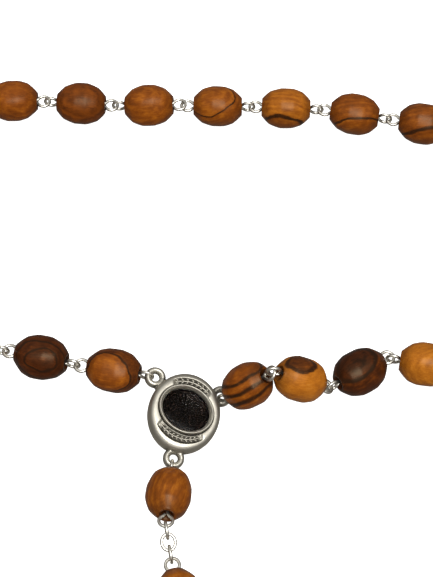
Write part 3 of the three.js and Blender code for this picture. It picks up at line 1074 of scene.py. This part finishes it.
def make_medal():
    """The cast body with its lugs, then what is set on it and in it."""
    place = medal_matrix()
    body = Shape()
    points, faces = medal_surface(BODY_STATIONS, 240, carved=True)
    body.add(points, faces, place)
    for lug in LUGS.values():
        add_lug(body, lug)
    cast = body.build("center_frame_cast", PEWTER)
    recast(cast, CAST_VOXEL)
    keep_stain(cast, place)
    settle(cast, "centerpiece", "pewter", "center_frame")

    rim = Shape()
    points, faces = medal_surface(BEZEL_STATIONS, 160, capped=False)
    rim.add(points, faces, place, stain=(0, 0, 0))
    settle(rim.build("center_bezel_rim", PEWTER), "centerpiece", "pewter")
    make_ornament(place)
    make_earth(place)
    make_lens(place)


def add_lug(body, lug):
    """A thick ring at the body's edge and the three rods of the short neck that joins them."""
    points, faces = tube(arc(0.0, LUG_RADIUS, 0, 345, 23), LUG_WIRE, 14, closed=True)
    thick = [(x, y, LUG_DEPTH * z) for x, y, z in points]
    body.add(thick, faces, leaning(lug))
    inward = (MEDAL_PLACE - lug).normalized()
    neck = [lug + inward * (LUG_RADIUS - 0.05 + 0.35 * step) for step in range(6)]
    for side in (-NECK_SPREAD, 0.0, NECK_SPREAD):
        offset = inward.cross(MEDAL_LEAN) * side
        points, faces = tube([p + offset for p in neck], NECK_ROD, 12)
        body.add(points, faces)


def keep_stain(piece, place):
    """Marks where the dark patina sits: the sunk bands and the groove round the bezel."""
    inverse = place.inverted()
    values = []
    for vertex in piece.data.vertices:
        local = inverse @ (vertex.co / MM + ORIGIN)
        angle = math.atan2(local.y / MEDAL_HALF_HEIGHT, local.x / MEDAL_HALF_WIDTH)
        rim = medal_point(angle, 0.0, 1.0, 0.0).length
        bezel = medal_point(angle, 1.0, 1.0, 0.0).length
        toward = (rim - math.hypot(local.x, local.y)) / (rim - bezel)
        groove = ease((toward - GROOVE_START) / GROOVE_SLOPE)
        on_face = local.z > FACE_START
        values.append((max(band_depth(angle, toward), groove) if on_face else 0.0, 0.0, 0.0))
    keep_values(piece.data, "stain", values)


def recast(piece, voxel_mm):
    """Melts overlapping closed parts into one skin with soft cast fillets."""
    skin = piece.modifiers.new("skin", "REMESH")
    skin.mode = "VOXEL"
    skin.voxel_size = voxel_mm * MM
    skin.use_smooth_shade = True
    soften = piece.modifiers.new("soften", "SMOOTH")
    soften.iterations = 5
    soften.factor = 0.5
    apply_modifiers(piece)


def almond(length, width, height):
    """A pointed leaf with a raised middle, in the xy plane, along x."""
    rows = 9
    sides = 8
    points = []
    for row in range(rows):
        share = row / (rows - 1)
        size = max(math.sin(math.pi * share) ** 0.8, 0.04)
        for angle in angles_round(sides):
            y = 0.5 * width * size * math.cos(angle)
            points.append(((share - 0.5) * length, y, height * size * math.sin(angle)))
    return points, grid_faces(rows, sides) + end_caps(len(points), sides)


def make_ornament(place):
    """A laurel of small leaves along a stem, raised in the sunk bands above and below the bezel."""
    shape = Shape()
    middle = (BAND_OUTER + BAND_INNER) / 2
    for (start, end), count in zip(ORNAMENT_ARCS, LEAF_PAIRS):
        first = start + STEM_MARGIN
        sweep = end - start - 2 * STEM_MARGIN
        angles = [math.radians(first + sweep * step / STEM_STEPS) for step in range(STEM_STEPS + 1)]
        stem = [medal_point(angle, middle, 1.0, STEM_HEIGHT) for angle in angles]
        points, faces = tube(stem, STEM_RADIUS, 8)
        # The stain's second value makes the stem lighter in the pewter.
        shape.add(points, faces, place, stain=(0, 0.6, 0))
        for index in range(count):
            add_leaf_pair(shape, place, math.radians(first + sweep * (index + 0.35) / count), middle)
    settle(shape.build("center_ornament", PEWTER), "centerpiece", "pewter")


def add_leaf_pair(shape, place, angle, middle):
    spot = medal_point(angle, middle, 1.0, LEAF_HEIGHT)
    ahead = medal_point(angle + 0.05, middle, 1.0, LEAF_HEIGHT) - spot
    heading = math.atan2(ahead.y, ahead.x)
    along, aside = LEAF_OFFSET
    for side in (1, -1):
        turn = Matrix.Rotation(heading + LEAF_TURN * side, 4, "Z")
        offset = Matrix.Rotation(heading, 4, "Z") @ Vector((along, aside * side, 0))
        points, faces = almond(*LEAF)
        # The stain's second value makes the leaves lighter in the pewter.
        shape.add(points, faces, place @ Matrix.Translation(spot + offset) @ turn, stain=(0, 1, 0))


def make_earth(place):
    """Crumbly earth that fills the pocket."""
    soil = Shape()
    rows, sides = 26, 96
    points = []
    for row in range(rows):
        scale = EARTH_MIDDLE + (EARTH_SHARE - EARTH_MIDDLE) * row / (rows - 1)
        for angle in angles_round(sides):
            spot = medal_point(angle, 1.0, scale, EARTH_HEIGHT)
            crumb = noise.noise(spot * 2.1) * 0.09 + noise.noise(spot * 5.3) * 0.03
            points.append((spot.x, spot.y, spot.z + (crumb if row < rows - 1 else 0)))
    for angle in angles_round(sides):
        points.append(medal_point(angle, 1.0, EARTH_SHARE, EARTH_BOTTOM))
    soil.add(points, grid_faces(rows + 1, sides) + end_caps(len(points), sides), place)
    settle(soil.build("center_earth_crumbs", EARTH), "centerpiece", "earth", "center_earth")


def make_lens(place):
    """A clear cover with a low dome."""
    dome = list(LENS_RIM)
    for step in range(1, LENS_STEPS):
        angle = math.pi / 2 * step / LENS_STEPS
        dome.append((1.0, LENS_SHARE * math.cos(angle), LENS_EDGE + LENS_RISE * math.sin(angle)))
    points, faces = medal_surface([*dome, LENS_TOP], 96)
    glass = Shape()
    glass.add(points, faces, place)
    settle(glass.build("center_lens_dome", LENS), "centerpiece", "lens", "center_lens")


# ---------------- light, floor and camera

# Camera, in the medal-centred frame, in millimetres.
CAMERA_TARGET = Vector((5.0, 22.236, 0.0))
CAMERA_DISTANCE = 250.0
CAMERA_LENS = 104.5

# The key light, in metres: nearly where the camera looks from, so that its shadows stay short.
KEY_TOWARDS = VIEW_TOWARDS + Vector((0.12, 0.1, 0.1))
KEY_DISTANCE = 0.6
KEY_SIZE = 0.44
KEY_WATTS = 4.1
KEY_COLOUR = (1.0, 0.985, 0.96)

FLOOR_SIZE = 3.0  # half its side, in metres
FLOOR_GLOW = 1.0

# The sky's colour by height, from straight below to straight above.
SKY = [
    (0.0, (0.24, 0.228, 0.204)),
    (0.5, (0.16, 0.153, 0.139)),
    (0.62, (0.15, 0.146, 0.139)),
    (0.8, (0.40, 0.395, 0.38)),
    (0.95, (0.62, 0.615, 0.60)),
]


def make_key_light(centre):
    light = bpy.data.lights.new("key", "AREA")
    light.shape = "DISK"
    light.size = KEY_SIZE
    light.energy = KEY_WATTS
    light.color = KEY_COLOUR
    lamp = bpy.data.objects.new("key", light)
    lamp.location = centre + KEY_TOWARDS * KEY_DISTANCE
    lamp.rotation_euler = KEY_TOWARDS.to_track_quat("Z", "Y").to_euler()
    bpy.context.scene.collection.objects.link(lamp)


def make_camera(centre):
    camera = bpy.data.cameras.new("camera")
    camera.lens = CAMERA_LENS
    camera.clip_start = 0.01
    made = bpy.data.objects.new("camera", camera)
    made.location = centre + VIEW_TOWARDS * CAMERA_DISTANCE * MM
    made.rotation_euler = VIEW_TOWARDS.to_track_quat("Z", "Y").to_euler()
    bpy.context.scene.collection.objects.link(made)
    bpy.context.scene.camera = made


def make_world():
    """A soft studio: brightest overhead, darker down the walls."""
    world = bpy.data.worlds.new("studio")
    world.use_nodes = True
    tree = world.node_tree
    height = split(tree, put(tree, "TexCoord").outputs["Generated"])[2]
    rise = ranged(tree, height, -1.0, 1.0, smooth=False)
    tree.links.new(coloured(tree, rise, SKY), tree.nodes["Background"].inputs["Color"])
    bpy.context.scene.world = world


def make_floor():
    """A white floor that lights neither the beads' undersides nor their reflections."""
    size = FLOOR_SIZE
    mesh = bpy.data.meshes.new("floor")
    corners = [(-size, -size, 0), (size, -size, 0), (size, size, 0), (-size, size, 0)]
    mesh.from_pydata(corners, [], [[0, 1, 2, 3]])
    floor = bpy.data.objects.new("floor", mesh)
    floor.data.materials.append(pale_floor())
    bpy.context.scene.collection.objects.link(floor)
    floor.visible_diffuse = False
    floor.visible_glossy = False


# ---------------- the rosary

SPACER = 0  # stands for a spacer bead with its chains in a list of run lengths

RIGHT_PLAN = {
    "start": Start(LUGS["right"], 34),
    "first_beads": [(1.8, 49.1, -0.38), (3.8, -36.13, -0.28), (31.5, -4.2, 0.3), (-10.9, 0.08, -0.05)],
    "runs": [3, 3, SPACER, 3, 2, 2, 3, SPACER, 1],
    "bend": {"from": 4.72, "to": 181.72, "start": 11.5, "end": 17},
    "last_beads": [(171, 0, 0.3), (170, 0, 0.35), (177, 0, 0.35), (179, 0, 0.25)],
}

LEFT_PLAN = {
    "start": Start(LUGS["left"], 151),
    "first_beads": [(168.3, -4.08, 0.38), (165.6, -3.37, 0.38)],
    "runs": [3, 3, 2, SPACER, 3, 2, 2, 3, SPACER, 2],
    "bend": {"from": 173.66, "to": -1.54, "start": 11.5, "end": 16.5},
    "last_beads": [(-1, 0, 0.25), (-4, 0, 0.25), (-2, 4, 0.25)],
}

DROP_PLAN = {
    "start": Start(LUGS["bottom"], -110),
    "first": (-94, 17, 0.43),
    "links": [(-80, -24, 0.58), (-79.5, -25, 0.58), (-79.5, -26, 0.58)],
    "second": (-78, 1, 0.5),
    "lone_headings": [(3, -66), (4, -62)],
    "spacer_heading": -70,
    "cross": (-78, -3),
}

# The beads in view, each with the figure it was cut with.
FIGURES = {
    "right_01": Figure((-0.52, 0.82, 0.25), [(1.8, 0.22), (0.45, 0.26), (-0.85, 0.3)], 0.47, 0.42, 0.3),
    "right_02": Figure((0.24, 0.72, 0.65), [(2.85, 0.14)], 0.66, 0.26, 0.1),
    "right_03": Figure((-0.2, 0.5, 0.8), [(2.3, 0.25)], 0.2, 0.1, 0.3),
    "right_04": Figure((0.3, -0.2, 0.9), [], 0.64, 0.68, 0.05),
    "left_01": Figure((-0.3, -0.12, 0.95), [(1.85, 0.13)], 0.28, 0.46, 0.3),
    "left_02": Figure((-0.05, -0.1, 1.0), [(1.7, 0.14), (2.7, 0.1)], 0.2, 0.17, 0.35),
    "right_24": Figure((0.1, -0.95, 0.2), [(1.65, 0.28)], 0.4, 0.42, 0.3),
    "right_25": Figure((0.05, -0.97, 0.25), [(1.7, 0.16)], 0.44, 0.46, 0.3),
    "right_26": Figure((-0.12, -0.97, 0.25), [(2.35, 0.15)], 0.58, 0.45, 0.15),
    "right_27": Figure((-0.35, 0.45, 0.82), [(1.55, 0.1)], 0.46, 0.5, 0.3),
    "left_25": Figure((0.2, 0.1, 1.0), [], 0.45, 0.45, 0.4),
    "left_26": Figure((0.0, 0.1, 1.0), [], 0.35, 0.35, 0.4),
    "left_27": Figure((-0.3, 0.3, 0.9), [], 0.48, 0.5, 0.35),
    "drop_01": Figure((0.6, 0.1, 0.5), [], 0.46, 0.46, 0.15),
    "drop_02": Figure((0.3, 0.5, 0.6), [], 0.52, 0.52, 0.2),
}

CROSS_FIGURE = Figure((0.2, 0.3, 1.0), [(1.3, 0.12), (-0.6, 0.1)], 0.5, 0.62, 0.2)

# The row frame's origin in the medal-centred frame, from where the first pin hooks the right lug.
first_hook = Link(RIGHT_PLAN["start"], *RIGHT_PLAN["first_beads"][0]).hook
first_joint = next(joint for joint in frame["joints"] if joint["name"] == "swing_right_pin_01")
ORIGIN = first_hook - Vector(first_joint["pos_m"]) / MM

WOOD = olive_wood()
SILVER = silver_wire()
PEWTER = pewter()
EARTH = dark_earth()
LENS = clear_lens()

make_medal()
make_strand("right", RIGHT_PLAN)
make_strand("left", LEFT_PLAN)
make_drop(DROP_PLAN)

centre = (CAMERA_TARGET - ORIGIN) * MM
make_floor()
make_world()
make_camera(centre)
make_key_light(centre)
bpy.context.scene.view_settings.view_transform = "Standard"
